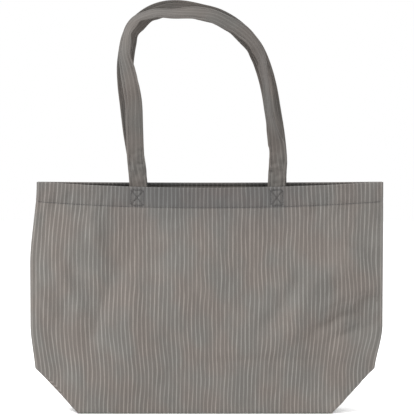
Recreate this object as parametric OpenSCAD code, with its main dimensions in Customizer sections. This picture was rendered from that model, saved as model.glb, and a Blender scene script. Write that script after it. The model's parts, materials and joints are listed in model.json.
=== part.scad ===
// Striped cotton tote bag with a boxed bottom, standing with its bottom folded up inside.
// The front faces -Y, X runs to the right as seen from the front, and the bottom folds
// rest on z = 0. Sizes are in millimetres.

/* [Body] */
// Width of the body laid flat, from side seam to side seam
flat_w = 508; // [460:4:540]
// Height of the body, from the bottom folds to the corners of the mouth
body_h = 330; // [310:5:360]
// Depth of the boxed bottom when it is opened out
gusset_w = 134; // [116:1:146]
// Distance between the front and back bottom folds as the bag stands
stand_w = 54; // [48:1:60]
// Gap between the front and back panels in the middle of the mouth
mouth_w = 24; // [22:1:30]
// How far the front edge of the mouth dips in the middle
front_dip = 8.5; // [0:0.5:10]
// How far the back edge of the mouth dips in the middle
back_dip = 1.5; // [0:0.5:8]

/* [Cloth] */
// Thickness of a body panel
cloth_t = 1.6; // [1.2:0.1:1.8]
// Height of the hem turned in at the mouth
hem_h = 30; // [28:1:36]
// Thickness of the turned-in layer of the hem
hem_t = 1.2; // [0.8:0.1:1.4]
// Width of the seam allowances inside the bag
allowance_w = 8; // [6:1:9]
// Width of a run of thread
thread_w = 1; // [0.8:0.1:1.4]
// How far a run of thread stands proud of the cloth
thread_t = 0.5; // [0.4:0.05:0.6]

/* [Handles] */
// Width of a handle strap
strap_w = 25; // [22:1:28]
// Thickness of a handle strap
strap_t = 2.4; // [2:0.1:2.6]
// Distance of each handle end from the middle of the bag
strap_x = 100; // [90:1:110]
// Distance of the edge stitching from the edge of a strap
edge_stitch = 4; // [3:0.5:6]
// Width of the stitched box that holds a handle end
box_w = 18; // [16:1:20]
// Height of the stitched box that holds a handle end
box_h = 24; // [20:1:25]

/* [Hidden] */

CLOTH = [0.53, 0.50, 0.48];
DARK_CLOTH = [0.42, 0.39, 0.37];
STRAP = [0.50, 0.47, 0.45];
THREAD = [0.36, 0.34, 0.32];

half_w = flat_w / 2;
half_gusset = gusset_w / 2;
half_base = half_w - half_gusset;
half_stand = stand_w / 2;
half_mouth = mouth_w / 2;
// Height of the ridge of the folded-up bottom: its cloth keeps its width
fold_h = sqrt(half_gusset * half_gusset - half_stand * half_stand);

// Clearances between neighbouring layers
layer_gap = 0.05;
edge_gap = 1.2;
foot_gap = 0.6;
hinge_gap = 1.2;

// Grid of a body panel
COLS = 24;
LOW_ROWS = 4;
HIGH_ROWS = 12;
HEM_EDGE = 0.94;

// Handle centrelines as [x, height above the handle hinge, roll], front view, left end
// first. The roll turns the strap's face outwards, in degrees.
FRONT_ROUTE = [
    [-98, 0, 0], [-98.6, 12, 0], [-101.5, 44, 0], [-103, 80, 3], [-104, 115, 8],
    [-108, 145, 15], [-114, 170, 30], [-117, 195, 46], [-113, 220, 54], [-102, 238, 54],
    [-84, 245, 54], [-64, 247, 54], [-40, 247, 48], [-8, 246, 36], [22, 237, 32],
    [50, 223, 33], [70, 202, 45], [79, 182, 55], [83, 163, 61], [86, 146, 64],
    [87, 125, 65], [88, 108, 64], [92, 92, 58], [96, 76, 42], [101, 58, 18],
    [102, 40, 3], [100.6, 14, 0], [100, 0, 0]
];
BACK_ROUTE = [
    [-98, 0, 0], [-98.6, 12, 0], [-103, 42, 0], [-108, 72, 5], [-112, 105, 10],
    [-116, 140, 15], [-117, 170, 18], [-113, 200, 22], [-106, 219, 26], [-95, 232, 28],
    [-78, 243, 28], [-56, 249, 28], [-34, 250, 27], [-8, 245, 25], [20, 236, 22],
    [46, 219, 20], [70, 192, 20], [84, 158, 20], [93, 122, 20], [98, 88, 16],
    [102, 56, 10], [104, 32, 0], [103.2, 12, 0], [103, 0, 0]
];
RINGS = 72;

// Position of the handle ends across the panel, from 0 in the middle to 1 at the side seam
strap_u = strap_x / half_w;

// Half width of a panel at height z: the lower corners are cut off by diagonal folds
function side_x(z) = z < fold_h ? half_base + half_gusset * z / fold_h : half_w;

// Distance of a panel's edge from the middle plane at height z
function edge_y(z) = edge_gap + (z < fold_h ? half_stand * (1 - z / fold_h) : 0);

// Distance of the middle of a panel from the middle plane at height z
function mid_y(z) = edge_gap + half_stand + (half_mouth - half_stand) * z / body_h;

// Distance of a panel from the middle plane, u being -1 to 1 across it
function wall_y(u, z) = edge_y(z) + (mid_y(z) - edge_y(z)) * (1 - pow(abs(u), 3));

// Height of the mouth's edge at u
function mouth_z(u, dip) = body_h - dip * (1 - u * u);

// Height of row j of a panel's grid at u; one row runs through the ends of the diagonal folds
function row_z(u, j, dip) =
    j <= LOW_ROWS
    ? fold_h * j / LOW_ROWS
    : fold_h + (mouth_z(u, dip) - fold_h) * (j - LOW_ROWS) / HIGH_ROWS;

// Point of a front layer at u and height z, a given distance outside the panel's middle
function layer_point(u, z, out) = [u * side_x(z), -wall_y(u, z) - out, z];

// Place on a smooth curve through the points of a route, s running from 0 to its last index
function route_point(route, s) =
    let (
        last = len(route) - 1,
        i = min(floor(s), last - 1),
        t = s - i,
        a = route[max(i - 1, 0)],
        b = route[i],
        c = route[i + 1],
        d = route[min(i + 2, last)]
    )
    0.5 * (2 * b + (c - a) * t + (2 * a - 5 * b + 4 * c - d) * t * t
        + (3 * b - a - 3 * c + d) * t * t * t);

// Unit vector away from the inside of the loop, square to the strap, in the handle's plane
function route_side(route, s) =
    let (
        last = len(route) - 1,
        step = 0.05,
        along = route_point(route, min(s + step, last)) - route_point(route, max(s - step, 0))
    )
    [-along.y, along.x] / norm([along.x, along.y]);

// Edges of the stitching along a strap, across from its middle
line_in = strap_w / 2 - edge_stitch - thread_w / 2;
line_out = line_in + thread_w;

// Height of the line that a handle folds over
function hinge_z(dip) = mouth_z(strap_u, dip) + hinge_gap;

// Distance of a handle's middle plane, inside the hem, from the middle plane of the bag
function strap_y(dip) =
    wall_y(strap_u, mouth_z(strap_u, dip)) - cloth_t / 2 - hem_t - strap_t / 2 - 3 * layer_gap;

// Closed sheet between two grids of points. outer(i, j) is seen with i to the right
// and j upwards; inner(i, j) lies behind it.
module sheet(cols, rows, outer, inner) {
    count = (cols + 1) * (rows + 1);
    points = concat(
        [for (j = [0:rows]) for (i = [0:cols]) outer(i, j)],
        [for (j = [0:rows]) for (i = [0:cols]) inner(i, j)]
    );
    function a(i, j) = j * (cols + 1) + i;
    function b(i, j) = count + a(i, j);
    faces = concat(
        [for (j = [0:rows - 1]) for (i = [0:cols - 1]) each [
            [a(i, j), a(i + 1, j + 1), a(i + 1, j)],
            [a(i, j), a(i, j + 1), a(i + 1, j + 1)],
            [b(i, j), b(i + 1, j), b(i + 1, j + 1)],
            [b(i, j), b(i + 1, j + 1), b(i, j + 1)]
        ]],
        [for (i = [0:cols - 1]) each [
            [a(i, 0), a(i + 1, 0), b(i + 1, 0)],
            [a(i, 0), b(i + 1, 0), b(i, 0)],
            [a(i + 1, rows), a(i, rows), b(i, rows)],
            [a(i + 1, rows), b(i, rows), b(i + 1, rows)]
        ]],
        [for (j = [0:rows - 1]) each [
            [a(0, j + 1), a(0, j), b(0, j)],
            [a(0, j + 1), b(0, j), b(0, j + 1)],
            [a(cols, j), a(cols, j + 1), b(cols, j + 1)],
            [a(cols, j), b(cols, j + 1), b(cols, j)]
        ]]
    );
    polyhedron(points = points, faces = faces, convexity = 6);
}

// Turns a shape made for the front of the bag into the matching one for its back
module to_back() {
    mirror([0, 1, 0]) children();
}

// Turns a shape made for the right side of the bag into the matching one for its left
module to_left() {
    mirror([1, 0, 0]) children();
}

// A whole body panel
module panel(dip) {
    half_t = cloth_t / 2;
    at = function (i, j, out)
        let (u = 2 * i / COLS - 1)
        layer_point(u, row_z(u, j, dip), out);
    sheet(COLS, LOW_ROWS + HIGH_ROWS,
        function (i, j) at(i, j, half_t),
        function (i, j) at(i, j, -half_t));
}

// A band of a layer below the mouth, between two depths under the mouth's edge
module mouth_band(dip, u_from, u_to, cols, depth_from, depth_to, out_from, out_to) {
    at = function (i, j, out)
        let (u = u_from + (u_to - u_from) * i / cols)
        layer_point(u, mouth_z(u, dip) - (j == 0 ? depth_to : depth_from), out);
    sheet(cols, 1,
        function (i, j) at(i, j, out_to),
        function (i, j) at(i, j, out_from));
}

// The layer of the hem that is turned to the inside
module hem(dip) {
    inner_face = -cloth_t / 2 - layer_gap;
    mouth_band(dip, -HEM_EDGE, HEM_EDGE, COLS, 0, hem_h, inner_face - hem_t, inner_face);
}

// The run of thread along the lower edge of a hem, on the outside
module hem_stitching(dip) {
    outer_face = cloth_t / 2 + layer_gap;
    depth = hem_h - 2;
    mouth_band(dip, -1, 1, COLS, depth, depth + thread_w, outer_face, outer_face + thread_t);
}

// The two ends of a handle that lie inside the hem
module handle_ends(dip) {
    inner_face = -cloth_t / 2 - hem_t - 2 * layer_gap;
    half_u = strap_w / 2 / half_w;
    for (side = [-1, 1]) {
        u = side * strap_u;
        mouth_band(dip, u - half_u, u + half_u, 2, 1, hem_h - 2, inner_face - strap_t, inner_face);
    }
}

// The stitched box with its two diagonals, on the outside of the hem
module cross(side, dip) {
    slope = atan((half_stand - half_mouth) / body_h);
    z = mouth_z(strap_u, dip) - hem_h / 2 + 0.5;
    diagonal = sqrt(box_w * box_w + box_h * box_h) - thread_w;
    turn = atan(box_h / box_w);
    translate([side * strap_x, -wall_y(strap_u, z) - cloth_t / 2 - thread_t / 2 - 0.3, z])
        rotate([90 - slope, 0, 0])
        linear_extrude(thread_t, center = true) {
            difference() {
                square([box_w, box_h], center = true);
                square([box_w - 2 * thread_w, box_h - 2 * thread_w], center = true);
            }
            for (a = [-turn, turn])
                rotate(a) square([diagonal, thread_w], center = true);
        }
}

// A flat band swept along a handle's route, with the given places across the strap and
// the distances of its two faces from the strap's middle layer
module route_band(route, dip, places, out_from, out_to) {
    last = len(route) - 1;
    at = function (i, j, out)
        let (
            s = last * i / RINGS,
            across = places[j],
            p = route_point(route, s),
            side = route_side(route, s),
            reach = across * cos(p[2]) + out * sin(p[2]),
            back = across * sin(p[2]) - out * cos(p[2])
        )
        [p.x + reach * side.x, back - strap_y(dip), hinge_z(dip) + p.y + reach * side.y];
    sheet(RINGS, len(places) - 1,
        function (i, j) at(i, j, out_to),
        function (i, j) at(i, j, out_from));
}

// A strap, with bends in its faces along its stitching, so that the thread lies flat on it
module strap(route, dip) {
    half = strap_w / 2;
    places = [-half, -line_out, -line_in, line_in, line_out, half];
    route_band(route, dip, places, -strap_t / 2, strap_t / 2);
}

// Runs of thread along both edges of a strap, on both of its faces
module strap_stitching(route, dip) {
    face = strap_t / 2 + layer_gap;
    for (places = [[-line_out, -line_in], [line_in, line_out]])
        for (out = [face, -face - thread_t])
            route_band(route, dip, places, out, out + thread_t);
}

// Distance from the middle plane at which the folded-up bottom meets the ground
foot_y = half_stand - foot_gap;
// Angle of the slopes of the folded-up bottom
bottom_slope = atan(fold_h / foot_y);
slope_y = cloth_t / sin(bottom_slope);
slope_z = cloth_t / cos(bottom_slope);

// The folded-up bottom between the corner folds
module bottom() {
    rotate([90, 0, 90])
        linear_extrude(2 * half_base, center = true)
        polygon([
            [-foot_y, 0], [0, fold_h], [foot_y, 0],
            [foot_y - slope_y, 0], [0, fold_h - slope_z], [slope_y - foot_y, 0]
        ]);
}

// The corner of the bottom that is folded inside, from the corner seam to the diagonal folds
module corner_fold() {
    cols = 8;
    reach = 0.92;
    start = 0.3;
    at = function (i, j, drop_y, drop_z)
        let (
            f = reach * i / cols,
            y = (j - 1) * (foot_y * (1 - f) - drop_y),
            z = j == 1 ? fold_h - drop_z : fold_h * f
        )
        [half_base + start + (half_gusset - start) * f, y, z];
    sheet(cols, 2,
        function (i, j) at(i, j, 0, 0),
        function (i, j) at(i, j, slope_y, slope_z));
}

// The seam allowance that stands inside the bag where the bottom meets a corner fold
module corner_seam() {
    reach = 0.55;
    lift = 0.2;
    end_y = reach * foot_y;
    end_z = fold_h * (1 - reach) + lift;
    translate([half_base, 0, 0])
        rotate([90, 0, 90])
        linear_extrude(hem_t, center = true)
        polygon([
            [-end_y, end_z], [0, fold_h + allowance_w], [end_y, end_z], [0, fold_h + lift]
        ]);
}

seam_x = half_w - 4;
seam_t = 0.8;

// The side seam allowances, lying flat between the panels
module side_seam() {
    top = body_h - 4;
    foot = fold_h + 2;
    translate([seam_x - allowance_w, -seam_t / 2, foot])
        cube([allowance_w, seam_t, top - foot]);
}

// Thread of the side seam, on both faces of the allowances
module side_stitching() {
    top = body_h - 5;
    foot = fold_h + 3;
    thread_d = 0.4;
    for (y = [seam_t / 2 + layer_gap, -seam_t / 2 - layer_gap - thread_d])
        translate([seam_x - allowance_w / 2, y, foot])
        cube([thread_w, thread_d, top - foot]);
}

module front_panel() { color(CLOTH) panel(front_dip); }
module back_panel() { color(CLOTH) to_back() panel(back_dip); }
module bottom_panel() { color(CLOTH) bottom(); }
module left_corner_fold() { color(CLOTH) to_left() corner_fold(); }
module right_corner_fold() { color(CLOTH) corner_fold(); }
module left_side_seam() { color(DARK_CLOTH) to_left() side_seam(); }
module right_side_seam() { color(DARK_CLOTH) side_seam(); }
module left_side_stitching() { color(THREAD) to_left() side_stitching(); }
module right_side_stitching() { color(THREAD) side_stitching(); }
module left_corner_seam() { color(DARK_CLOTH) to_left() corner_seam(); }
module right_corner_seam() { color(DARK_CLOTH) corner_seam(); }
module front_hem() { color(DARK_CLOTH) hem(front_dip); }
module back_hem() { color(DARK_CLOTH) to_back() hem(back_dip); }
module front_hem_stitching() { color(THREAD) hem_stitching(front_dip); }
module back_hem_stitching() { color(THREAD) to_back() hem_stitching(back_dip); }
module front_handle() { color(STRAP) strap(FRONT_ROUTE, front_dip); }
module back_handle() { color(STRAP) to_back() strap(BACK_ROUTE, back_dip); }
module front_handle_ends() { color(STRAP) handle_ends(front_dip); }
module back_handle_ends() { color(STRAP) to_back() handle_ends(back_dip); }
module front_left_cross() { color(THREAD) cross(-1, front_dip); }
module front_right_cross() { color(THREAD) cross(1, front_dip); }
module back_left_cross() { color(THREAD) to_back() cross(-1, back_dip); }
module back_right_cross() { color(THREAD) to_back() cross(1, back_dip); }
module front_handle_stitching() { color(THREAD) strap_stitching(FRONT_ROUTE, front_dip); }
module back_handle_stitching() { color(THREAD) to_back() strap_stitching(BACK_ROUTE, back_dip); }

front_panel();
back_panel();
bottom_panel();
left_corner_fold();
right_corner_fold();
left_side_seam();
right_side_seam();
left_side_stitching();
right_side_stitching();
left_corner_seam();
right_corner_seam();
front_hem();
back_hem();
front_hem_stitching();
back_hem_stitching();
front_handle();
back_handle();
front_handle_ends();
back_handle_ends();
front_left_cross();
front_right_cross();
back_left_cross();
back_right_cross();
front_handle_stitching();
back_handle_stitching();
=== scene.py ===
"""A striped cotton tote bag, standing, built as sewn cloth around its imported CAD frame."""

import json
import math

import bpy
import numpy as np
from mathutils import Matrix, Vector


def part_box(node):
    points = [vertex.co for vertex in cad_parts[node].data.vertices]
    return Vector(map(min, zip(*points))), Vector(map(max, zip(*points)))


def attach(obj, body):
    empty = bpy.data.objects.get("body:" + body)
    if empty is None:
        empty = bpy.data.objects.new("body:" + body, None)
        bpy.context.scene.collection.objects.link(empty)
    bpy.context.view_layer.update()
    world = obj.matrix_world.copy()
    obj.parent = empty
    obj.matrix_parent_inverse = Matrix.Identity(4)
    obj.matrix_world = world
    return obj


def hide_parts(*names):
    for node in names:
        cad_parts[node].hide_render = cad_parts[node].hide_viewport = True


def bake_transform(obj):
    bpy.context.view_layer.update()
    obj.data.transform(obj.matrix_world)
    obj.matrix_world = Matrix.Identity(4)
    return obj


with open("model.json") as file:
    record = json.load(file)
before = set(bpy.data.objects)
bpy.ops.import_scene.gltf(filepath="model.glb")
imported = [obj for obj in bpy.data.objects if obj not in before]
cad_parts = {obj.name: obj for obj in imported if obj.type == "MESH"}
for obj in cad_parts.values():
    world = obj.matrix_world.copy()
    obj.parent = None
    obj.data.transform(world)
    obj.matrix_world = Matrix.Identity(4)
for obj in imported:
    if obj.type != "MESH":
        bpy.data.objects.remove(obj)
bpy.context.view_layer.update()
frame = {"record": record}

MM = 0.001

# Driving sizes that the frame doesn't give, the same as in the part's source
EDGE_GAP = 1.2 * MM
PANEL_T = 1.6 * MM
HALF_MOUTH = 12 * MM
FRONT_DIP = 8.5 * MM
BACK_DIP = 1.5 * MM
HEM_H = 30 * MM
STRAP_W = 25 * MM
STRAP_X = 100 * MM

# Driving sizes from the frame
HALF_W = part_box("front_panel")[1].x
BODY_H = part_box("front_panel")[1].z
HALF_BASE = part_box("bottom_panel")[1].x
FOLD_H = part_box("bottom_panel")[1].z
HALF_GUSSET = HALF_W - HALF_BASE
HALF_STAND = -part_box("front_panel")[0].y - EDGE_GAP - PANEL_T / 2
HINGE = {j["name"]: j["pos_m"] for j in frame["record"]["behaviour"]["joints"]}

# Cloth
CLOTH_T = 1.1 * MM
STRIPES = 86
PITCH = 2 * HALF_W / STRIPES
CORD_HALF = 0.95 * MM
CORD_RELIEF = 0.15 * MM
THREAD_R = 0.42 * MM
STITCH = 2.7 * MM
STITCH_STEP = 3.4 * MM

# Handle centrelines as (x, height above the handle's hinge, roll), front view, left end first.
# The roll turns the strap's face outwards, in degrees.
FRONT_ROUTE = [
    (-98, 0, 0), (-98.6, 12, 0), (-101.5, 44, 0), (-103, 80, 3), (-104, 115, 8),
    (-108, 145, 15), (-114, 170, 30), (-117, 195, 46), (-113, 220, 54), (-102, 238, 54),
    (-84, 245, 54), (-64, 247, 54), (-40, 247, 48), (-8, 246, 36), (22, 237, 32),
    (50, 223, 33), (70, 202, 45), (79, 182, 55), (83, 163, 61), (86, 146, 64),
    (87, 125, 65), (88, 108, 64), (92, 92, 58), (96, 76, 42), (101, 58, 18),
    (102, 40, 3), (100.6, 14, 0), (100, 0, 0),
]
BACK_ROUTE = [
    (-98, 0, 0), (-98.6, 12, 0), (-103, 42, 0), (-108, 72, 5), (-112, 105, 10),
    (-116, 140, 15), (-117, 170, 18), (-113, 200, 22), (-106, 219, 26), (-95, 232, 28),
    (-78, 243, 28), (-56, 249, 28), (-34, 250, 27), (-8, 245, 25), (20, 236, 22),
    (46, 219, 20), (70, 192, 20), (84, 158, 20), (93, 122, 20), (98, 88, 16),
    (102, 56, 10), (104, 32, 0), (103.2, 12, 0), (103, 0, 0),
]


# ---------------------------------------------------------------- shape of the body

def smooth(t):
    """Smooth step from 0 to 1."""
    t = np.clip(t, 0, 1)
    return t * t * (3 - 2 * t)


def side_x(z):
    """Half width of a panel at height z; diagonal folds cut its lower corners off."""
    return np.where(z < FOLD_H, HALF_BASE + HALF_GUSSET * z / FOLD_H, HALF_W)


def edge_y(z):
    """Distance of a panel's edge from the middle plane."""
    return np.where(z < FOLD_H, HALF_STAND * (1 - z / FOLD_H), 0)


def mid_y(z):
    """Distance of the middle of a panel from the middle plane."""
    return HALF_STAND + (HALF_MOUTH - HALF_STAND) * z / BODY_H


def gap_y(u, z):
    """The small gap that the cloth's thickness needs, closed at the seams and the bottom."""
    side = np.sqrt(np.clip(1 - np.abs(u) ** 70, 0, 1))
    foot = np.sqrt(np.clip(1 - np.clip(1 - z / (2 * MM), 0, 1) ** 2, 0, 1))
    return EDGE_GAP * side * foot


def wall_y(u, z):
    """Distance of a panel from the middle plane, u being -1 to 1 across it."""
    e = edge_y(z)
    return e + (mid_y(z) - e) * (1 - np.abs(u) ** 3) + gap_y(u, z)


def mouth_z(u, dip):
    """Height of the mouth's edge."""
    return BODY_H - dip * (1 - u * u)


def lie_x(a, z):
    """Where the cloth at a, measured across it laid flat, lies at height z."""
    u = a / HALF_W
    left_top = 10 * MM * smooth((z - 0.21) / 0.12) * np.clip(-u, 0, 1) ** 2
    pull = np.where(a < 0, 7 * MM, 12 * MM) * smooth((0.125 - z) / 0.075)
    return a + left_top - pull * u


def noise(seed, count, shortest, longest, stretch=1.0):
    """A smooth random surface over (a, z): sums of waves between two wavelengths."""
    rng = np.random.RandomState(seed)
    length = shortest * (longest / shortest) ** rng.rand(count)
    angle = rng.rand(count) * 2 * np.pi
    phase = rng.rand(count) * 2 * np.pi
    weight = length / longest

    def value(a, z):
        total = 0
        for w, l, g, p in zip(weight, length, angle, phase):
            k = 2 * np.pi / l
            total = total + w * np.sin(k * (np.cos(g) * a + np.sin(g) * z / stretch) + p)
        return total / math.sqrt((weight ** 2).sum() / 2)

    return value


# How strongly every fold stands out of the cloth or sinks into it
FOLD_STRENGTH = 1.3


def crease(a, z, line, width, height):
    """A soft ridge, or a groove where height is negative, along a line of places."""
    near = np.full(np.broadcast(a, z).shape, np.inf)
    share = np.zeros(near.shape)
    lengths = [math.dist(p, q) for p, q in zip(line, line[1:])]
    done = 0
    for (x0, z0), (x1, z1), length in zip(line, line[1:], lengths):
        dx, dz = x1 - x0, z1 - z0
        t = np.clip(((a - x0) * dx + (z - z0) * dz) / length ** 2, 0, 1)
        d = np.hypot(a - x0 - t * dx, z - z0 - t * dz)
        closer = d < near
        near = np.where(closer, d, near)
        share = np.where(closer, (done + t * length) / sum(lengths), share)
        done += length
    fade = smooth(share / 0.3) * smooth((1 - share) / 0.3)
    return FOLD_STRENGTH * height * (0.15 + 0.85 * fade) * np.exp(-(near / width) ** 2)


# Folds of the front panel: line of places (across, height), width, height of the fold
FRONT_CREASES = [
    ([(0.128, 0.098), (0.160, 0.124), (0.191, 0.144), (0.290, 0.176)], 0.0095, -4.2 * MM),
    ([(0.150, 0.140), (0.195, 0.164), (0.290, 0.194)], 0.0110, 2.4 * MM),
    ([(0.172, 0.098), (0.205, 0.118), (0.290, 0.146)], 0.0080, -3.0 * MM),
    ([(0.090, 0.275), (0.118, 0.232), (0.130, 0.190), (0.100, 0.135), (0.060, 0.105)], 0.0140, -3.4 * MM),
    ([(0.075, 0.090), (0.130, 0.125), (0.150, 0.185), (0.205, 0.218)], 0.0170, 3.2 * MM),
    ([(0.214, 0.285), (0.228, 0.230), (0.290, 0.160)], 0.0100, -3.2 * MM),
    ([(0.185, 0.270), (0.200, 0.235), (0.225, 0.205)], 0.0120, 1.8 * MM),
    ([(-0.222, 0.214), (-0.198, 0.170), (-0.166, 0.132)], 0.0100, 3.6 * MM),
    ([(-0.205, 0.222), (-0.182, 0.182), (-0.155, 0.140)], 0.0090, -2.4 * MM),
    ([(-0.172, 0.305), (-0.162, 0.250), (-0.138, 0.205)], 0.0120, 3.2 * MM),
    ([(-0.124, 0.225), (-0.146, 0.160), (-0.172, 0.085)], 0.0120, -3.2 * MM),
    ([(-0.112, 0.215), (-0.104, 0.165), (-0.116, 0.115)], 0.0130, 2.6 * MM),
    ([(-0.254, 0.192), (-0.232, 0.156), (-0.214, 0.128)], 0.0085, 2.8 * MM),
    ([(-0.245, 0.300), (-0.236, 0.255), (-0.246, 0.215)], 0.0120, -2.6 * MM),
    ([(-0.020, 0.074), (0.080, 0.077), (0.195, 0.075)], 0.0065, -1.1 * MM),
]
BACK_CREASES = [
    ([(-0.262, 0.168), (-0.205, 0.148), (-0.150, 0.112)], 0.0100, -4.0 * MM),
    ([(-0.262, 0.130), (-0.215, 0.112), (-0.180, 0.085)], 0.0090, -3.0 * MM),
    ([(-0.220, 0.215), (-0.160, 0.180), (-0.135, 0.120)], 0.0160, 3.0 * MM),
    ([(0.262, 0.215), (0.215, 0.185), (0.160, 0.165)], 0.0110, 3.6 * MM),
    ([(0.130, 0.285), (0.095, 0.225), (0.110, 0.160)], 0.0150, -3.2 * MM),
    ([(0.160, 0.120), (0.205, 0.150), (0.262, 0.160)], 0.0100, -2.6 * MM),
    ([(-0.090, 0.265), (-0.060, 0.215), (-0.075, 0.160)], 0.0150, 2.4 * MM),
]


def billow(a, z, top, seed, creases):
    """How far the cloth stands out of its smooth shape."""
    u = a / HALF_W
    depth = top - z
    inside = smooth((1 - np.abs(u)) / 0.10)
    lively = 0.35 + 0.65 * smooth((np.abs(u) - 0.15) / 0.35)
    hold = smooth(depth / (55 * MM)) * smooth(z / (45 * MM))
    broad = noise(seed, 9, 0.09, 0.22, 1.5)(a, z) * 1.9 * MM
    middle = noise(seed + 1, 12, 0.035, 0.08, 1.7)(a, z) * 0.75 * MM * lively
    small = noise(seed + 2, 16, 0.014, 0.034, 2.0)(a, z) * 0.22 * MM
    folds = 0
    for line, width, height in creases:
        folds = folds + crease(a, z, line, width, height)
    ends = 0.7 + 1.5 * smooth((np.abs(u) - 0.35) / 0.3)
    ripple = noise(seed + 3, 10, 0.010, 0.026, 3.0)(a, z) * 0.42 * MM * ends
    near_hem = np.exp(-((depth - 24 * MM) / (16 * MM)) ** 2)
    out = (broad * inside + middle * (0.35 + 0.65 * inside)) * hold + small * smooth(z / 0.02)
    out = out + folds * hold * (0.4 + 0.6 * inside)
    # Cloth lies flat where a handle is sewn behind it
    sewn = np.exp(-((np.abs(a) - STRAP_X) / (17 * MM)) ** 4) * np.exp(-(depth / (32 * MM)) ** 4)
    return (out + ripple * near_hem) * smooth((1 - np.abs(u)) / 0.03) * (1 - 0.92 * sewn)


def wander(a, z, seed):
    """How far a stripe strays sideways."""
    u = a / HALF_W
    fade = smooth((1 - np.abs(u)) / 0.06)
    far = noise(seed, 8, 0.05, 0.16, 1.0)(a, z) * 0.6 * MM
    near = noise(seed + 1, 16, 0.010, 0.032, 3.4)(a, z) * 0.30 * MM
    return (far + near) * fade


def body_point(a, z, dip, seed, creases):
    """A point of the front panel's middle layer; the back panel mirrors y."""
    u = np.clip(a / side_x(z), -1, 1)
    top = mouth_z(a / HALF_W, dip)
    y = wall_y(u, z) + billow(a, z, top, seed, creases)
    x = lie_x(a, z) + wander(a, z, seed + 7)
    return np.stack([x, -y, z + 0 * x], -1)


def stripe_columns(half, cords=True):
    """Places across the cloth for a grid whose columns follow the raised cords."""
    first = math.ceil((HALF_W - half) / PITCH - 1e-6)
    columns = []
    for k in range(first, STRIPES - first):
        middle = -HALF_W + (k + 0.5) * PITCH
        if cords:
            columns += [middle - PITCH / 2, middle - CORD_HALF, middle, middle + CORD_HALF]
        else:
            columns += [middle - PITCH / 2]
    columns.append(-columns[0])
    return np.array(columns)


def cord_relief(a):
    """Height of the raised cords at a."""
    off = np.abs((a + HALF_W) / PITCH % 1 - 0.5) * PITCH
    return CORD_RELIEF * np.clip(1 - off / CORD_HALF, 0, 1)


# ---------------------------------------------------------------- mesh building

def link(name, mesh, material):
    """Makes a mesh an object of the scene."""
    mesh.polygons.foreach_set("use_smooth", [True] * len(mesh.polygons))
    mesh.validate()
    mesh.update()
    obj = bpy.data.objects.new(name, mesh)
    bpy.context.scene.collection.objects.link(obj)
    mesh.materials.append(material)
    return obj


def add_uv(mesh, uv):
    """Stores one (across, along) pair of cloth coordinates, in metres, for each vertex."""
    layer = mesh.uv_layers.new(name="cloth")
    loops = np.zeros(len(mesh.loops), dtype=np.int32)
    mesh.loops.foreach_get("vertex_index", loops)
    layer.data.foreach_set("uv", np.asarray(uv, float)[loops].ravel())


def grid_quads(rows, cols, base=0, flip=False):
    """Quads of a grid of vertices."""
    r, c = np.meshgrid(np.arange(rows - 1), np.arange(cols - 1), indexing="ij")
    i = (base + r * cols + c).ravel()
    quads = np.stack([i, i + 1, i + cols + 1, i + cols], -1)
    return quads[:, ::-1] if flip else quads


def normals_of(points):
    """Unit normals of a grid of points."""
    across = np.gradient(points, axis=1)
    up = np.gradient(points, axis=0)
    n = np.cross(across, up)
    return n / np.maximum(np.linalg.norm(n, axis=-1, keepdims=True), 1e-12)


def shell(name, points, uv, thickness, material, relief=0.0, inner_relief=0.0):
    """A closed sheet of cloth around a grid of middle points, with its cords standing out."""
    rows, cols = points.shape[:2]
    n = normals_of(points)
    half = thickness / 2
    outer = points + n * (half + np.asarray(relief))[..., None]
    inner = points - n * (half + np.asarray(inner_relief))[..., None]
    count = rows * cols
    o = np.arange(count).reshape(rows, cols)
    i = o + count
    faces = [grid_quads(rows, cols), grid_quads(rows, cols, count, flip=True)]
    rims = [
        (o[0, 1:], o[0, :-1], i[0, :-1], i[0, 1:]),
        (o[-1, :-1], o[-1, 1:], i[-1, 1:], i[-1, :-1]),
        (o[:-1, 0], o[1:, 0], i[1:, 0], i[:-1, 0]),
        (o[1:, -1], o[:-1, -1], i[:-1, -1], i[1:, -1]),
    ]
    faces += [np.stack(rim, -1) for rim in rims]
    verts = np.concatenate([outer.reshape(-1, 3), inner.reshape(-1, 3)])
    mesh = bpy.data.meshes.new(name)
    mesh.from_pydata(verts.tolist(), [], np.concatenate(faces).tolist())
    flat_uv = uv.reshape(-1, 2)
    add_uv(mesh, np.concatenate([flat_uv, flat_uv]))
    return link(name, mesh, material)


def mirror_y(points):
    """The grid for the back of the bag that matches one for its front."""
    turned = points * np.array([1, -1, 1])
    return turned[:, ::-1]


# ---------------------------------------------------------------- materials

def new_material(name):
    material = bpy.data.materials.new(name)
    material.use_nodes = True
    nodes = material.node_tree.nodes
    return material, nodes, material.node_tree.links, nodes["Principled BSDF"]


def add_math(nodes, links, operation, a, b=None):
    """A Math node; a and b are sockets or numbers."""
    node = nodes.new("ShaderNodeMath")
    node.operation = operation
    for socket, value in zip(node.inputs, (a, b)):
        if value is None:
            continue
        if isinstance(value, (int, float)):
            socket.default_value = value
        else:
            links.new(value, socket)
    return node.outputs[0]


def add_range(nodes, links, value, low, high, to_low=0.0, to_high=1.0):
    """A smooth Map Range node."""
    node = nodes.new("ShaderNodeMapRange")
    node.interpolation_type = "SMOOTHSTEP"
    node.inputs["From Min"].default_value = low
    node.inputs["From Max"].default_value = high
    node.inputs["To Min"].default_value = to_low
    node.inputs["To Max"].default_value = to_high
    links.new(value, node.inputs["Value"])
    return node.outputs["Result"]


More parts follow.
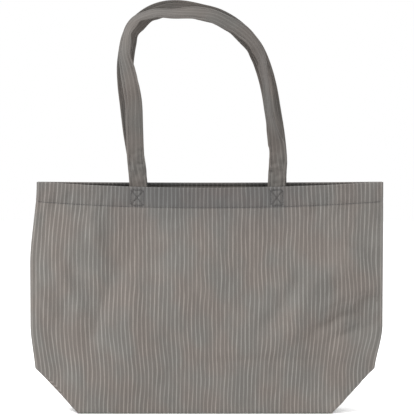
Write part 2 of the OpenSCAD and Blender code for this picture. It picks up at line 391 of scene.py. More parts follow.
def add_mix(nodes, links, factor, a, b, blend="MIX"):
    """A colour Mix node; a and b are sockets or colours."""
    node = nodes.new("ShaderNodeMix")
    node.data_type = "RGBA"
    node.blend_type = blend
    if isinstance(factor, (int, float)):
        node.inputs[0].default_value = factor
    else:
        links.new(factor, node.inputs[0])
    for socket, value in ((node.inputs[6], a), (node.inputs[7], b)):
        if isinstance(value, tuple):
            socket.default_value = (*value, 1)
        else:
            links.new(value, socket)
    return node.outputs[2]


def add_noise(nodes, links, vector, scale, detail, stretch=(1, 1, 1)):
    """A noise texture over a stretched vector."""
    mapping = nodes.new("ShaderNodeMapping")
    mapping.inputs["Scale"].default_value = stretch
    links.new(vector, mapping.inputs["Vector"])
    node = nodes.new("ShaderNodeTexNoise")
    node.inputs["Scale"].default_value = scale
    node.inputs["Detail"].default_value = detail
    links.new(mapping.outputs["Vector"], node.inputs["Vector"])
    return node.outputs["Fac"]


BAND = (0.1073, 0.0971, 0.0891)
CORD = (0.1956, 0.1825, 0.1679)
WARM = (1.03, 0.99, 0.97)
COOL = (0.97, 1.005, 1.01)
HEM_TONE = (0.78, 0.795, 0.82)
# Painted shade on the panel below the hem, strongest in the middle
NEAR_HEM_PAINTED_SHADE = (0.86, 0.87, 0.89)


def striped_cloth(name, band, cord, cord_share=1.0, hem=False):
    """Cotton with pale raised cords on a darker ground, dry and slightly hairy."""
    material, nodes, links, shader = new_material(name)
    uv = nodes.new("ShaderNodeUVMap")
    uv.uv_map = "cloth"
    split = nodes.new("ShaderNodeSeparateXYZ")
    links.new(uv.outputs["UV"], split.inputs[0])
    across, along = split.outputs[0], split.outputs[1]

    # Cord mask: 1 on a pale cord, 0 on the band between
    phase = add_math(nodes, links, "DIVIDE", across, PITCH)
    off = add_math(nodes, links, "ABSOLUTE", add_math(
        nodes, links, "SUBTRACT", add_math(nodes, links, "FRACT", phase), 0.5))
    fray = add_noise(nodes, links, uv.outputs["UV"], 1.0, 3.0, (900, 220, 1))
    off = add_math(nodes, links, "ADD", off, add_math(
        nodes, links, "MULTIPLY", add_math(nodes, links, "SUBTRACT", fray, 0.5), 0.10))
    cord_mask = add_range(nodes, links, off, 0.0, 0.26, cord_share, 0.0)

    # Each cord is paler in some stretches than in others
    streak = add_noise(nodes, links, uv.outputs["UV"], 1.0, 2.0, (170, 22, 1))
    cord_mask = add_math(nodes, links, "MULTIPLY", cord_mask,
                         add_range(nodes, links, streak, 0.30, 0.70, 0.50, 1.08))
    # and in some patches the cords nearly sink into a paler ground
    patch = add_range(nodes, links, add_noise(nodes, links, uv.outputs["UV"], 1.0, 2.0, (19, 15, 1)),
                      0.50, 0.75, 0.0, 0.30)
    level = add_mix(nodes, links, patch, band, tuple(0.45 * b + 0.55 * c for b, c in zip(band, cord)))
    ground = add_mix(nodes, links, cord_mask, level, cord)

    # Threads of the weave: the warp along the cords, the weft across
    warp = add_math(nodes, links, "SINE", add_math(nodes, links, "MULTIPLY", across, 2 * math.pi / 0.00062))
    weft = add_math(nodes, links, "SINE", add_math(nodes, links, "MULTIPLY", along, 2 * math.pi / 0.00055))
    weave = add_math(nodes, links, "MULTIPLY", warp, weft)
    grain = add_noise(nodes, links, uv.outputs["UV"], 1.0, 2.0, (2600, 1500, 1))
    weave_tone = add_range(nodes, links, add_math(
        nodes, links, "ADD", add_math(nodes, links, "MULTIPLY", weave, 0.35), grain), 0.0, 1.1, 0.84, 1.16)
    tone_node = nodes.new("ShaderNodeCombineColor")
    for socket in tone_node.inputs:
        links.new(weave_tone, socket)
    coloured = add_mix(nodes, links, 1.0, ground, tone_node.outputs[0], "MULTIPLY")

    # Slow drifts of colour, warm to cool, and faint soiling
    drift = add_noise(nodes, links, uv.outputs["UV"], 1.0, 2.0, (17, 14, 1))
    tint = add_mix(nodes, links, add_range(nodes, links, drift, 0.35, 0.65), WARM, COOL)
    coloured = add_mix(nodes, links, 1.0, coloured, tint, "MULTIPLY")
    place = nodes.new("ShaderNodeTexCoord")
    cloud = add_noise(nodes, links, place.outputs["Object"], 9.0, 4.0)
    wear = add_mix(nodes, links, add_range(nodes, links, cloud, 0.3, 0.7),
                   (0.965, 0.965, 0.965), (1.03, 1.03, 1.03))
    coloured = add_mix(nodes, links, 1.0, coloured, wear, "MULTIPLY")
    if hem:
        # Doubled cloth at the hem looks darker and cooler
        uneven = add_math(nodes, links, "MULTIPLY", add_math(nodes, links, "SUBTRACT", cloud, 0.5), 0.006)
        doubled = add_range(nodes, links, add_math(nodes, links, "ADD", along, uneven),
                            BODY_H - HEM_H - 1 * MM, BODY_H - HEM_H + 4 * MM)
        aside = add_math(nodes, links, "ABSOLUTE", add_math(nodes, links, "SUBTRACT", across, HALF_W))
        middle = add_range(nodes, links, aside, 0.08, 0.19, 1.0, 0.35)
        doubled = add_math(nodes, links, "MULTIPLY", doubled, middle)
        shade = add_mix(nodes, links, doubled, (1.0, 1.0, 1.0), HEM_TONE)
        coloured = add_mix(nodes, links, 1.0, coloured, shade, "MULTIPLY")
        # Painted shade: the panel darkens gradually from three hem heights below the mouth up to the hem,
        # most in the middle
        near = add_range(nodes, links, along, BODY_H - 3 * HEM_H, BODY_H - 0.8 * HEM_H)
        near = add_math(nodes, links, "MULTIPLY", near, middle)
        shade = add_mix(nodes, links, near, (1.0, 1.0, 1.0), NEAR_HEM_PAINTED_SHADE)
        coloured = add_mix(nodes, links, 1.0, coloured, shade, "MULTIPLY")
    links.new(coloured, shader.inputs["Base Color"])

    rough = add_range(nodes, links, grain, 0.2, 0.8, 0.82, 0.97)
    links.new(rough, shader.inputs["Roughness"])
    shader.inputs["Specular IOR Level"].default_value = 0.22
    shader.inputs["Sheen Weight"].default_value = 0.16
    shader.inputs["Sheen Roughness"].default_value = 0.55

    height = add_math(nodes, links, "ADD",
                      add_math(nodes, links, "MULTIPLY", cord_mask, 0.55),
                      add_math(nodes, links, "MULTIPLY", add_math(
                          nodes, links, "ADD", weave, add_math(nodes, links, "MULTIPLY", grain, 2.2)), 0.13))
    bump = nodes.new("ShaderNodeBump")
    bump.inputs["Strength"].default_value = 0.55
    bump.inputs["Distance"].default_value = 0.0005
    links.new(height, bump.inputs["Height"])
    links.new(bump.outputs["Normal"], shader.inputs["Normal"])
    return material


def thread_material(name, colour):
    """Twisted sewing thread."""
    material, nodes, links, shader = new_material(name)
    place = nodes.new("ShaderNodeTexCoord")
    fuzz = add_noise(nodes, links, place.outputs["Object"], 1400.0, 3.0)
    dark = tuple(c * 0.72 for c in colour)
    pale = tuple(c * 1.25 for c in colour)
    links.new(add_mix(nodes, links, add_range(nodes, links, fuzz, 0.3, 0.7), dark, pale),
              shader.inputs["Base Color"])
    links.new(add_range(nodes, links, fuzz, 0.2, 0.8, 0.6, 0.85), shader.inputs["Roughness"])
    shader.inputs["Sheen Weight"].default_value = 0.2
    bump = nodes.new("ShaderNodeBump")
    bump.inputs["Strength"].default_value = 0.4
    bump.inputs["Distance"].default_value = 0.0002
    links.new(fuzz, bump.inputs["Height"])
    links.new(bump.outputs["Normal"], shader.inputs["Normal"])
    return material


CLOTH = striped_cloth("striped_cloth", BAND, CORD, hem=True)
# The hem's facing is the same cloth, darkened to 0.7 with fainter cords: painted shade of the bag's inside
INSIDE_PAINTED_SHADE_CLOTH = striped_cloth("cloth_inside_painted_shade", tuple(c * 0.7 for c in BAND), tuple(c * 0.7 for c in CORD), 0.8)
STRAP = striped_cloth("strap_cloth", tuple(c * 0.76 for c in BAND), tuple(c * 0.64 for c in CORD), 0.7)
SEAM = striped_cloth("seam_edge", tuple(c * 0.8 for c in BAND), tuple(c * 0.85 for c in CORD))
THREAD = thread_material("thread", (0.028, 0.025, 0.025))


# ---------------------------------------------------------------- stitches

STITCH_RING = 6
# Rings of a stitch from end to end: share of its length, then size and lift in thread radii
STITCH_SHAPE = [
    (0.0, 0.35, -0.55), (0.12, 0.9, -0.1), (0.5, 1.0, 0.25), (0.88, 0.9, -0.1), (1.0, 0.35, -0.55),
]


def stitches(name, starts, ends, outward, material, radius=THREAD_R):
    """Short arched capsules of thread from each start to each end."""
    starts, ends, outward = (np.asarray(v, float) for v in (starts, ends, outward))
    along = ends - starts
    along /= np.linalg.norm(along, axis=1, keepdims=True)
    side = np.cross(along, outward)
    side /= np.linalg.norm(side, axis=1, keepdims=True)
    up = np.cross(side, along)
    angles = np.arange(STITCH_RING) * 2 * np.pi / STITCH_RING
    rings = []
    for t, size, lift in STITCH_SHAPE:
        centre = starts + (ends - starts) * t + up * (lift * radius)
        for g in angles:
            rings.append(centre + (side * math.cos(g) + up * math.sin(g)) * radius * size)
    block = len(STITCH_SHAPE) * STITCH_RING
    verts = np.stack(rings, 1).reshape(-1, 3)
    faces = []
    for ring in range(len(STITCH_SHAPE) - 1):
        for k in range(STITCH_RING):
            n = (k + 1) % STITCH_RING
            a, b = ring * STITCH_RING, (ring + 1) * STITCH_RING
            faces.append([a + k, b + k, b + n, a + n])
    last = (len(STITCH_SHAPE) - 1) * STITCH_RING
    caps = [[k for k in range(STITCH_RING)], [last + k for k in reversed(range(STITCH_RING))]]
    count = len(starts)
    all_faces = [[v + block * s for v in face] for s in range(count) for face in faces + caps]
    mesh = bpy.data.meshes.new(name)
    mesh.from_pydata(verts.tolist(), [], all_faces)
    return link(name, mesh, material)


def along_line(surface, length, step=STITCH_STEP, stitch=STITCH):
    """Starts, ends and normals of stitches along a line. surface(s) gives points and normals."""
    s = np.arange(step / 2, length - stitch, step)
    starts, n0 = surface(s)
    ends, n1 = surface(s + stitch)
    return starts, ends, (n0 + n1) / 2


# ---------------------------------------------------------------- body pieces

# Radius of the fold over the mouth's edge, and depth of the hem's stitch line below it
TOP_R = 0.8 * MM
HEM_LINE = 28 * MM
# The hem's layer inside: how far in it lies, and its thickness
FACING_IN = 1.75 * MM
FACING_T = 0.5 * MM
SEEDS = {"front": 11, "back": 47}

# The crossed boxes that hold the handle ends, and their depth below the mouth
CROSS_THREAD_R = 0.55 * MM
CROSS_W, CROSS_H = 18 * MM, 22 * MM
CROSS_MIDDLE = 15 * MM
CORNERS = [(x * CROSS_W / 2, y * CROSS_H / 2) for x, y in ((-1, -1), (1, -1), (1, 1), (-1, 1))]
# A box's four sides and its two diagonals, as pairs of corners
CROSS_LINES = [(CORNERS[i], CORNERS[j]) for i, j in ((0, 1), (1, 2), (2, 3), (3, 0), (0, 2), (3, 1))]

# Rows of a panel's grid: even shares up to the hem, then distances below the mouth
PLAIN_ROWS = np.linspace(0, 1, 88)[:-1]
HEM_ROWS = np.arange(0, 34 * MM, 1.4 * MM)[::-1]


def panel_grid(dip, seed, creases):
    """Middle points of a front panel, folded over at the mouth, and their cloth places."""
    a = stripe_columns(HALF_W)
    foot = np.where(np.abs(a) > HALF_BASE, FOLD_H * (np.abs(a) - HALF_BASE) / HALF_GUSSET, 0)
    top = mouth_z(a / HALF_W, dip) - TOP_R
    rows = [foot + (top - HEM_ROWS[0] - foot) * share for share in PLAIN_ROWS]
    rows += [top - d for d in HEM_ROWS]
    z = np.array(rows)
    grid_a = np.broadcast_to(a, z.shape)
    points = body_point(grid_a, z, dip, seed, creases)
    drop = BODY_H - mouth_z(a / HALF_W, dip)
    uv = np.stack([grid_a + HALF_W, z + drop], -1)

    # The fold over the mouth's edge, and a little way down inside
    last, extra, extra_uv = points[-1], [], []
    for k in range(1, 7):
        g = math.pi * k / 6
        extra.append(last + np.array([0, TOP_R * (1 - math.cos(g)), TOP_R * math.sin(g)]))
        extra_uv.append(np.stack([a + HALF_W, top + drop + TOP_R * g], -1))
    extra.append(extra[-1] - np.array([0, 0, 3 * MM]))
    extra_uv.append(extra_uv[-1] + np.array([0, 3 * MM]))
    ends = np.abs(a) > HALF_W - 0.5 * MM
    for row in extra:
        row[ends, 1] = np.minimum(row[ends, 1], 0)
    points = np.concatenate([points, np.array(extra)])
    uv = np.concatenate([uv, np.array(extra_uv)])
    points[..., 1] = np.minimum(points[..., 1], 0)
    return points, uv


def stitch_dents(uv):
    """Where the cloth is drawn in by the hem's stitches and the crossed boxes."""
    a = uv[..., 0] - HALF_W
    depth = BODY_H - uv[..., 1]
    pulled = 0.75 + 0.25 * np.sin(2 * np.pi * a / STITCH_STEP)
    dents = -0.75 * MM * pulled * np.exp(-((depth - HEM_LINE) / (1.9 * MM)) ** 2)
    for side in (-1, 1):
        x, y = a - side * STRAP_X, depth - CROSS_MIDDLE
        for (x0, y0), (x1, y1) in CROSS_LINES:
            dx, dy = x1 - x0, y1 - y0
            t = np.clip(((x - x0) * dx + (y - y0) * dy) / (dx * dx + dy * dy), 0, 1)
            d = np.hypot(x - x0 - t * dx, y - y0 - t * dy)
            dents = np.minimum(dents, -0.95 * MM * np.exp(-(d / (1.4 * MM)) ** 2))
    return dents * (depth > 0)


def panel_surface(side, dip, creases):
    """A function from cloth places (a, z) to outer points and outward normals."""
    seed = SEEDS[side]
    turn = 1 if side == "front" else -1

    def at(a, z):
        step = 0.5 * MM
        p = body_point(a, z, dip, seed, creases)
        px = body_point(a + step, z, dip, seed, creases) - p
        pz = body_point(a, z + step, dip, seed, creases) - p
        n = np.cross(px, pz)
        n /= np.linalg.norm(n, axis=-1, keepdims=True)
        out = p + n * (CLOTH_T / 2)
        flip = np.array([1, turn, 1])
        return out * flip, n * flip

    return at


def make_panel(side, dip, creases):
    """A body panel, the facing of its hem, and the stitches through both."""
    points, uv = panel_grid(dip, SEEDS[side], creases)
    relief = cord_relief(uv[..., 0] - HALF_W) + stitch_dents(uv)
    inner = cord_relief(uv[..., 0] - HALF_W) * 0.3
    if side == "back":
        points, uv = mirror_y(points), uv[:, ::-1]
        relief, inner = relief[:, ::-1], inner[:, ::-1]
    panel = shell(f"{side}_panel_cloth", points, uv, CLOTH_T, CLOTH, relief, inner)
    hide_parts(f"{side}_panel")
    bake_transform(panel)

    # Hem facing: down inside and round its turned edge
    a = stripe_columns(HALF_W - 4 * MM, cords=False)
    base = mouth_z(a / HALF_W, dip) - TOP_R
    path = [(FACING_IN, -d * MM) for d in (1.5, 3, 6, 10, 14, 18, 22, 25, 27.5)]
    turned = 0.35 * MM
    centre = (FACING_IN - turned, -HEM_LINE)
    path += [(centre[0] + turned * math.cos(g), centre[1] - turned * math.sin(g))
             for g in (math.pi * k / 5 for k in range(1, 6))]
    rows, places = [], []
    travelled = 0
    for k, (inward, rise) in enumerate(path):
        z = base + rise
        p = body_point(a, z, dip, SEEDS[side], creases)
        p[:, 1] = np.minimum(p[:, 1] + inward, -0.25 * MM)
        rows.append(p)
        if k:
            travelled += math.hypot(path[k][0] - path[k - 1][0], path[k][1] - path[k - 1][1])
        places.append(np.stack([a + HALF_W, base + travelled], -1))
    points, uv = np.array(rows), np.array(places)
    if side == "back":
        points, uv = mirror_y(points), uv[:, ::-1]
    # The facing uses the darkened copy of the cloth: painted shade inside the bag
    hem = shell(f"{side}_hem_facing", points, uv, FACING_T, INSIDE_PAINTED_SHADE_CLOTH)
    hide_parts(f"{side}_hem")
    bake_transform(hem)

    # Hem stitches
    surface = panel_surface(side, dip, creases)

    def hem_line(s):
        x = s - HALF_W + 2 * MM
        p, n = surface(x, mouth_z(x / HALF_W, dip) - HEM_LINE)
        return p - n * 0.42 * MM, n

    line = stitches(f"{side}_hem_stitches", *along_line(hem_line, 2 * HALF_W - 4 * MM), THREAD)
    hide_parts(f"{side}_hem_stitching")
    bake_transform(line)

    # Crossed boxes that hold the handle ends
    for sign, hand in ((-1, "left"), (1, "right")):
        groups = []
        for (x0, y0), (x1, y1) in CROSS_LINES:
            length = math.hypot(x1 - x0, y1 - y0)

            def cross_line(s):
                t = s / length
                x = sign * STRAP_X + x0 + (x1 - x0) * t
                p, n = surface(x, mouth_z(x / HALF_W, dip) - CROSS_MIDDLE - (y0 + (y1 - y0) * t))
                return p - n * 0.40 * MM, n

            groups.append(along_line(cross_line, length, 3.0 * MM, 2.4 * MM))
        cross = stitches(f"{side}_{hand}_cross_stitches", *(np.concatenate(v) for v in zip(*groups)),
                         THREAD, CROSS_THREAD_R)
        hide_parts(f"{side}_{hand}_cross")
        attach(cross, f"{side}_body")


# The folded-up bottom: how softly it turns at its ridge, how far it hangs, its least height
RIDGE_SOFT = 0.03
HANG = 0.8 * MM
LEAST_Z = 0.3 * MM


def make_bottom():
    """The bottom between the corner folds, folded up into a ridge inside the bag."""
    a = stripe_columns(HALF_BASE)
    a = np.concatenate([[-HALF_BASE], a, [HALF_BASE]]) if abs(a[0]) < HALF_BASE - 0.1 * MM else a
    q = np.concatenate([-np.linspace(1, 0.06, 22), np.linspace(-0.05, 0.05, 5), np.linspace(0.06, 1, 22)])
    leg = math.hypot(FOLD_H, HALF_STAND)
    bulge = noise(91, 10, 0.03, 0.12, 1.0)
    rows, places = [], []
    for t in q:
        z = FOLD_H * (1 - min(math.hypot(t, RIDGE_SOFT), 1)) + 0 * a
        out = 0.7 * MM * bulge(a, t * leg + 0 * a) * (1 - t ** 2) * smooth((HALF_BASE - np.abs(a)) / 0.02)
        y = HALF_STAND * t + 0 * a
        rows.append(np.stack([lie_x(a, z), y, np.maximum(z + out - HANG * (1 - t ** 4), LEAST_Z)], -1))
        places.append(np.stack([a + HALF_W, t * leg + 0 * a], -1))
    points, uv = np.array(rows), np.array(places)
    bottom = shell("bottom_cloth", points[:, ::-1], uv[:, ::-1], CLOTH_T, CLOTH,
                   cord_relief(uv[..., 0] - HALF_W)[:, ::-1] * 0.3)
    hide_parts("bottom_panel")
    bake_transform(bottom)


def make_corner(sign, hand):
    """The corner of the bottom folded inside, between the seam and the diagonal folds."""
    f = np.linspace(0, 0.985, 40)
    q = np.concatenate([-np.linspace(1, 0.06, 14), np.linspace(-0.04, 0.04, 3), np.linspace(0.06, 1, 14)])
    rows, places = [], []
    for t in q:
        z = FOLD_H * f + FOLD_H * (1 - f) * (1 - min(math.hypot(t, RIDGE_SOFT), 1))
        y = HALF_STAND * (1 - f) * t
        a = HALF_BASE + HALF_GUSSET * f
        rows.append(np.stack([sign * a, y, np.maximum(z - HANG * (1 - t ** 4), LEAST_Z)], -1))
        places.append(np.stack([t * (1 - f) * HALF_GUSSET, a], -1))
    points, uv = np.array(rows), np.array(places)
    points[..., 0] = lie_x(points[..., 0], points[..., 2])
    if sign > 0:
        points, uv = points[:, ::-1], uv[:, ::-1]
    corner = shell(f"{hand}_corner_cloth", points, uv, CLOTH_T, CLOTH)
    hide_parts(f"{hand}_corner_fold")
    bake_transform(corner)

    # Seam allowance along the corner seam, standing inside the bag
    reach, width = 0.62, 8 * MM
    grid_q, grid_h = np.meshgrid(np.linspace(-reach, reach, 40), np.linspace(0, 1, 5))
    rise = 0.9 * MM + grid_h * width * np.cos(grid_q / reach * np.pi / 2) ** 0.7
    z = FOLD_H * (1 - np.hypot(grid_q, RIDGE_SOFT)) + rise
    x = lie_x(sign * (HALF_BASE - 0.4 * MM - 1.5 * MM * grid_h ** 2 * np.sin(grid_q * 9)), z)
    points = np.stack([x, HALF_STAND * grid_q, z], -1)
    uv = np.stack([grid_h * width, grid_q * 0.06], -1)
    seam = shell(f"{hand}_corner_allowance", points, uv, 1.2 * MM, SEAM)
    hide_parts(f"{hand}_corner_seam")
    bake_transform(seam)


def make_side_seam(sign, hand):
    """The allowance of a side seam, standing inside the bag, and its two rows of stitches."""
    low, high = FOLD_H + 1 * MM, BODY_H - HEM_H
    inset, width, period = 1.6 * MM, 8.4 * MM, 21 * MM

    def sway(z):
        """How far the allowance's free edge strays from the middle plane."""
        return 0.35 * MM * np.sin(z / period * 2 * np.pi + 1.3 * sign)

    grid_w, grid_z = np.meshgrid(np.linspace(0, 1, 6), np.linspace(low, high, 90))
    a = sign * (HALF_W - inset - width * grid_w)
    points = np.stack([lie_x(a, grid_z), sway(grid_z) * grid_w, grid_z], -1)
    uv = np.stack([grid_w * width, grid_z], -1)
    seam = shell(f"{hand}_side_allowance", points, uv, 0.7 * MM, SEAM)
    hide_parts(f"{hand}_side_seam")
    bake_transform(seam)

    def seam_line(face):
        def at(s):
            zz = low + s
            aa = sign * (HALF_W - 4.5 * MM)
            mid = sway(zz) * 0.35
            n = np.broadcast_to(np.array([0, face, 0.0]), (len(s), 3))
            p = np.stack([lie_x(aa + 0 * s, zz), mid + face * 0.42 * MM, zz], -1)
            return p, n
        return at

    groups = [along_line(seam_line(face), high - low) for face in (-1, 1)]
    line = stitches(f"{hand}_side_stitches", *(np.concatenate(v) for v in zip(*groups)), THREAD, 0.25 * MM)
    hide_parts(f"{hand}_side_stitching")
    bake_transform(line)


# ---------------------------------------------------------------- handles

def catmull(route, count):
    """count even places along the smooth curve through a route, with their distances."""
    p = np.array(route, float)
    padded = np.concatenate([p[:1], p, p[-1:]])
    fine = []
    for i in range(len(p) - 1):
        a, b, c, d = padded[i:i + 4]
        t = np.linspace(0, 1, 40, endpoint=False)[:, None]
        fine.append(0.5 * (2 * b + (c - a) * t + (2 * a - 5 * b + 4 * c - d) * t ** 2
                           + (3 * b - a - 3 * c + d) * t ** 3))
    fine = np.concatenate(fine + [p[-1:]])
    length = np.concatenate([[0], np.cumsum(np.linalg.norm(np.diff(fine[:, :2], axis=0), axis=1))])
    s = np.linspace(0, length[-1], count)
    return s * MM, np.stack([np.interp(s, length, fine[:, k]) for k in range(3)], -1)


# Room inside a panel for the hem, for half a strap and between them
HEM_SPACE = 1.2 * MM
STRAP_HALF_SPACE = 1.2 * MM
SEWN_GAP = 0.45 * MM
# How much nearer to its panel a strap runs where it is free
FREE_SHIFT = 0.4 * MM
# Distance of a strap's edge stitching from its middle, and length of a rumple at its bends
STRAP_LINE = 8.6 * MM
RUMPLE = 34 * MM


class Strap:
    """A handle: a folded band of cloth along its route, with both ends inside the hem."""

    # How far each end runs down inside the hem, and half the strap's thickness
    TUCK = 27 * MM
    HALF_T = 1.05 * MM

    def __init__(self, side, route, dip):
        self.turn = 1 if side == "front" else -1
        self.hinge = HINGE[f"{side}_handle_fold"]
        s, p = catmull(route, 420)
        centre = np.stack([p[:, 0] * MM, 0 * s, p[:, 1] * MM + self.hinge[2]], -1)
        roll = np.radians(p[:, 2])
        u = STRAP_X / HALF_W
        top = mouth_z(u, dip)
        inside = PANEL_T / 2 + HEM_SPACE + STRAP_HALF_SPACE + SEWN_GAP
        plane = wall_y(u, top) - inside
        centre[:, 1] = -plane - FREE_SHIFT * smooth(p[:, 1] / 40)
        # Tucked ends, which follow the panel's slope inside the hem
        n = 16
        down = np.linspace(self.TUCK, 0, n, endpoint=False)
        creases = FRONT_CREASES if side == "front" else BACK_CREASES

        def tucked(end):
            x, z = centre[end, 0] + 0 * down, centre[end, 2] - down
            z_in = np.minimum(z, mouth_z(x / HALF_W, dip) - TOP_R)
            y = body_point(x, z_in, dip, SEEDS[side], creases)[:, 1] + inside
            return np.stack([x, y, z], -1)

        left, right = tucked(0), tucked(-1)[::-1]
        self.centre = np.concatenate([left, centre, right])
        roll = np.concatenate([np.zeros(n), roll, np.zeros(n)])
        step = np.linalg.norm(np.diff(self.centre, axis=0), axis=1)
        self.s = np.concatenate([[0], np.cumsum(step)])
        self.length = self.s[-1]
        along = np.gradient(self.centre, self.s, axis=0)
        along[:, 1] = 0
        along /= np.linalg.norm(along, axis=1, keepdims=True)
        out = np.stack([-along[:, 2], 0 * self.s, along[:, 0]], -1)
        out = self._soften(out)
        roll = self._soften(roll[:, None])[:, 0]
        back = np.array([0, 1.0, 0])
        self.across = np.cos(roll)[:, None] * out + np.sin(roll)[:, None] * back
        self.face = np.sin(roll)[:, None] * out - np.cos(roll)[:, None] * back
        # Waves along the free strap, crumples near the hem, and how sharply the route bends
        waves = noise(5 if side == "front" else 6, 10, 0.03, 0.11)
        free = smooth((self.s - 0.045) / 0.05) * smooth((self.length - 0.045 - self.s) / 0.05)
        self.wave = waves(self.s, 0 * self.s) * 0.8 * MM * free
        self.crumple = noise(15 if side == "front" else 16, 12, 0.008, 0.022, 0.8)
        turn_rate = np.linalg.norm(np.gradient(along, self.s, axis=0), axis=1)
        self.bend = self._soften(np.clip((turn_rate - 4) / 14, 0, 1)[:, None])[:, 0]
        self.free = free

    @staticmethod
    def _soften(values, width=9):
        kernel = np.hanning(width + 2)[1:-1]
        kernel /= kernel.sum()
        padded = np.pad(values, ((width // 2, width // 2), (0, 0)), mode="edge")
        return np.stack([np.convolve(padded[:, k], kernel, "valid") for k in range(values.shape[1])], -1)

    def at(self, s, w, h):
        """Point at distance s, w across from the middle and h off the middle layer."""
        c, across, face = (np.stack([np.interp(s, self.s, v[:, k]) for k in range(3)], -1)
                           for v in (self.centre, self.across, self.face))
        wave = np.interp(s, self.s, self.wave)
        bend = np.interp(s, self.s, self.bend)
        free = np.interp(s, self.s, self.free)
        inner = np.exp((-w / (STRAP_W / 2) - 1) * 1.6)
        outer = np.exp((w / (STRAP_W / 2) - 1) * 2.0)
        rumple = bend * inner * 1.5 * MM * np.sin(s / RUMPLE * 2 * np.pi)
        curl = free * (outer + inner) * 0.6 * MM
        pinch = 1 - 0.05 * bend * inner * (1 + np.sin(s / RUMPLE * 2 * np.pi + 0.7))
        near_hem = np.exp(-((np.minimum(s, self.length - s) - 0.055) / 0.026) ** 2)
        crumple = self.crumple(w, s) * 0.9 * MM * near_hem
        off = h + wave + rumple - curl + crumple
        p = c + across * (w * pinch)[..., None] + face * off[..., None]
        return p * np.array([1, self.turn, 1]), face * np.array([1, self.turn, 1])

    def height(self, w):
        """Half thickness of the strap w across from its middle."""
        t = np.abs(w) / (STRAP_W / 2)
        edge = np.sqrt(np.clip(1 - t ** 9, 0, 1))
        groove = 0.60 * MM * np.exp(-((np.abs(w) - STRAP_LINE) / (0.9 * MM)) ** 2)
        return self.HALF_T * edge - groove


def make_strap(side, route, dip):
    """A handle with its edge stitching."""
    strap = Strap(side, route, dip)
    rings = 340
    s = np.linspace(0, strap.length, rings)
    # Places across the strap, closer together at its edges, then back along its other face
    even = np.linspace(-1, 1, 37)
    w = (np.sin(even * np.pi / 2) * 0.35 + even * 0.65) * STRAP_W / 2
    loop_w = np.concatenate([w, w[-2:0:-1]])
    face = np.concatenate([np.ones(len(w)), -np.ones(len(w) - 2)])
    grid_s, grid_w = np.meshgrid(s, loop_w, indexing="ij")
    h = strap.height(loop_w) * face
    points, _ = strap.at(grid_s.ravel(), grid_w.ravel(), np.broadcast_to(h, grid_s.shape).ravel())
    cols = len(loop_w)
    slant = noise(25 if side == "front" else 26, 8, 0.05, 0.16)(grid_s, 0 * grid_s) * 2.2 * MM
    uv = np.stack([grid_w + HALF_W + slant, grid_s], -1).reshape(-1, 2)
    r, c = np.meshgrid(np.arange(rings - 1), np.arange(cols), indexing="ij")
    a = (r * cols + c).ravel()
    b = (r * cols + (c + 1) % cols).ravel()
    quads = np.stack([a, b, b + cols, a + cols], -1)
    if side == "front":
        quads = quads[:, ::-1]
    faces = quads.tolist() + [list(range(cols)), [(rings - 1) * cols + k for k in reversed(range(cols))]]
    mesh = bpy.data.meshes.new(f"{side}_strap")
    mesh.from_pydata(points.tolist(), [], faces)
    add_uv(mesh, uv)
    piece = link(f"{side}_strap", mesh, STRAP)
    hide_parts(f"{side}_handle", f"{side}_handle_ends")

    groups = []
    for face_sign in (1, -1):
        for line in (-STRAP_LINE, STRAP_LINE):
            def edge_line(s, line=line, face_sign=face_sign):
                width = np.full(len(s), line)
                p, n = strap.at(s, width, face_sign * (strap.height(width) + 0.06 * MM))
                return p, n * face_sign
            groups.append(along_line(edge_line, strap.length - 2 * MM, 3.3 * MM, 2.6 * MM))
    sewn = stitches(f"{side}_strap_stitches", *(np.concatenate(v) for v in zip(*groups)), THREAD, 0.28 * MM)
    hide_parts(f"{side}_handle_stitching")

    for obj in (piece, sewn):
        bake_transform(obj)


make_panel("front", FRONT_DIP, FRONT_CREASES)
make_panel("back", BACK_DIP, BACK_CREASES)
make_bottom()
for sign, hand in ((-1, "left"), (1, "right")):
    make_corner(sign, hand)
    make_side_seam(sign, hand)
make_strap("front", FRONT_ROUTE, FRONT_DIP)
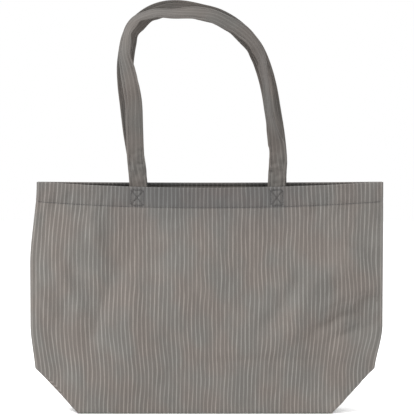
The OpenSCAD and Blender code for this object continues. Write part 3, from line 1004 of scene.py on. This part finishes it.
make_strap("back", BACK_ROUTE, BACK_DIP)


# ---------------------------------------------------------------- studio

def studio():
    """A plain pale floor, white light from all round, three soft lamps and the camera."""
    scene = bpy.context.scene
    world = bpy.data.worlds.new("studio")
    scene.world = world
    world.use_nodes = True
    background = world.node_tree.nodes["Background"]
    background.inputs["Color"].default_value = (1, 1, 1, 1)
    background.inputs["Strength"].default_value = 1.0

    bpy.ops.mesh.primitive_plane_add(size=12, location=(0, 0, -0.0004))
    floor = bpy.context.object
    floor.name = "floor"
    material, _, _, shader = new_material("floor")
    shader.inputs["Base Color"].default_value = (0.93, 0.93, 0.93, 1)
    shader.inputs["Roughness"].default_value = 0.95
    shader.inputs["Emission Color"].default_value = (1, 1, 1, 1)
    shader.inputs["Emission Strength"].default_value = 0.12
    floor.data.materials.append(material)

    def area(name, place, target, size, power):
        light = bpy.data.lights.new(name, "AREA")
        light.shape = "RECTANGLE"
        light.size, light.size_y = size
        light.energy = power
        obj = bpy.data.objects.new(name, light)
        scene.collection.objects.link(obj)
        obj.location = place
        direction = np.array(target) - np.array(place)
        obj.rotation_mode = "QUATERNION"
        obj.rotation_quaternion = Vector(direction).to_track_quat("-Z", "Y")

    area("key", (-2.35, -1.25, 3.2), (0, 0, 0.28), (1.1, 1.1), 162)
    area("fill", (2.2, -1.9, 1.2), (0, 0, 0.28), (1.6, 1.6), 22)
    area("rim", (1.6, 1.8, 1.6), (0, 0, 0.3), (1.4, 1.0), 20)

    camera_data = bpy.data.cameras.new("camera")
    camera_data.lens = 120
    camera_data.sensor_width = 36
    camera = bpy.data.objects.new("camera", camera_data)
    scene.collection.objects.link(camera)
    width_seen = 0.592
    distance = width_seen * camera_data.lens / camera_data.sensor_width
    tilt = math.radians(2)
    aim = np.array([0.0007, -0.013, 0.2945])
    camera.location = aim + distance * np.array([0, -math.cos(tilt), math.sin(tilt)])
    camera.rotation_euler = (math.pi / 2 - tilt, 0, 0)
    scene.camera = camera
    scene.view_settings.view_transform = "Standard"


studio()
